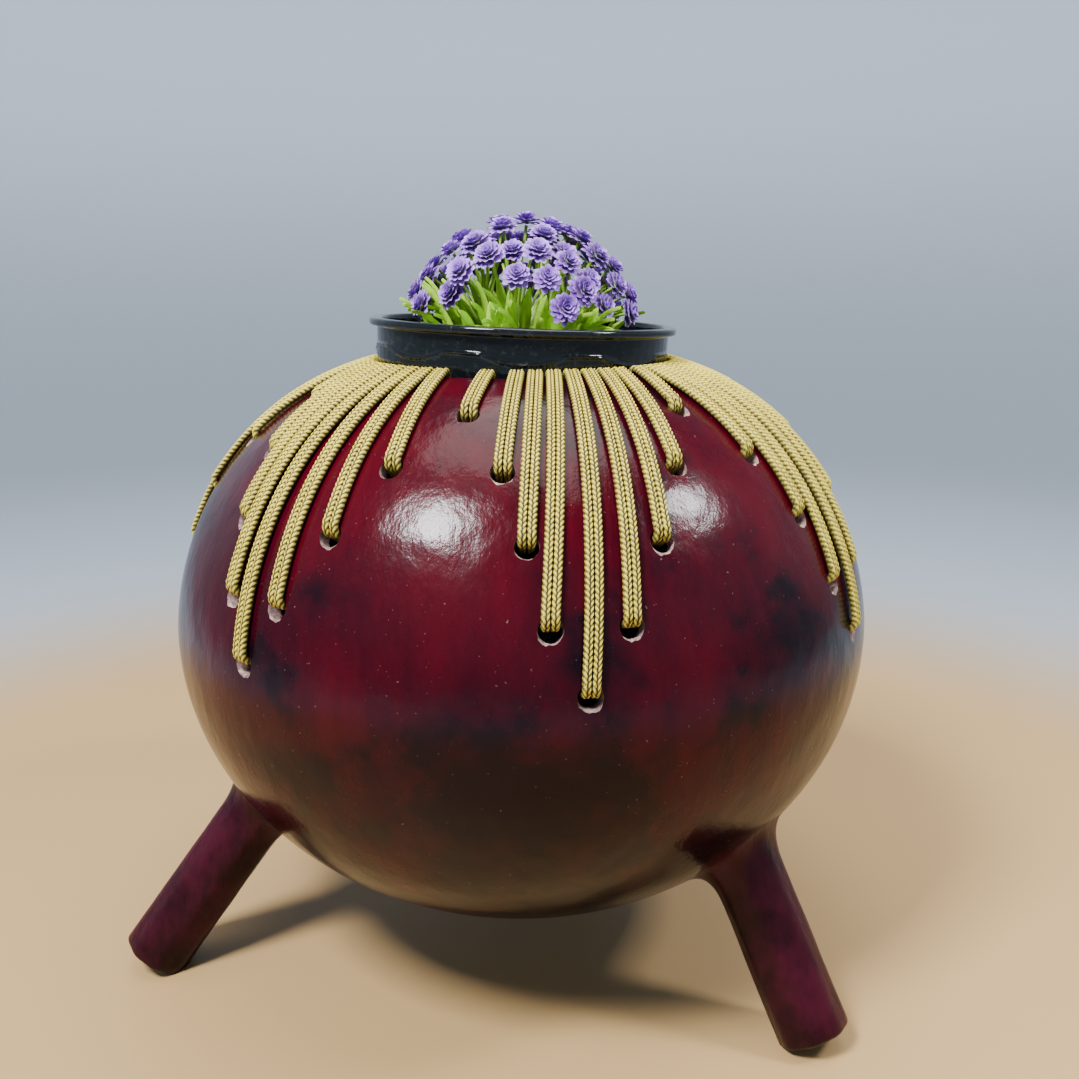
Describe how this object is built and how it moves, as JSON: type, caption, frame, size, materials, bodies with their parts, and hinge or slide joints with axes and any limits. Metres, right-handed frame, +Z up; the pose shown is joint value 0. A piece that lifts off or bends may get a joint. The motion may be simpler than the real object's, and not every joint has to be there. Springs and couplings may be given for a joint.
{
  "type": "dried bottle gourd planter",
  "caption": "Round dried gourd shell on splayed dowel legs, its sawn mouth laced with flat braid and holding a plastic pot of artificial pompon flowers.",
  "frame": {"origin": "on the surface that the planter stands on, under the middle of its bounding box", "axes": "+Z up, -Y the side that the picture shows, +X to the right as seen from there"},
  "size_m": [0.2722, 0.2684, 0.2735],
  "materials": {
    "gourd": "burgundy stain with near-black mottling under a glossy lacquer",
    "braid": "matt plaited gold and khaki yarn",
    "leg": "dark maroon paint, satin",
    "putty": "hand-smoothed wood filler under dark maroon paint, satin",
    "pot": "glossy black, with a faint moulded wave and ribs",
    "foam": "matt crumbly floral foam",
    "flower": "violet cloth petals, with green moulded leaves and stems"
  },
  "bodies": {
    "root": {"gourd_shell": "gourd", "lacing_fan_1": "braid", "lacing_fan_2": "braid", "lacing_fan_3": "braid", "lacing_fan_4": "braid", "lacing_fan_5": "braid", "lacing_fan_6": "braid", "lacing_fan_7": "braid", "leg_left": "leg", "leg_right": "leg", "leg_back": "leg", "putty_left": "putty", "putty_right": "putty", "putty_back": "putty", "plant_pot": "pot", "floral_foam": "foam", "flower_spray_1": "flower", "flower_spray_2": "flower", "flower_spray_3": "flower", "flower_spray_4": "flower", "flower_spray_5": "flower", "flower_spray_6": "flower", "flower_spray_7": "flower"}
  },
  "joints": []
}
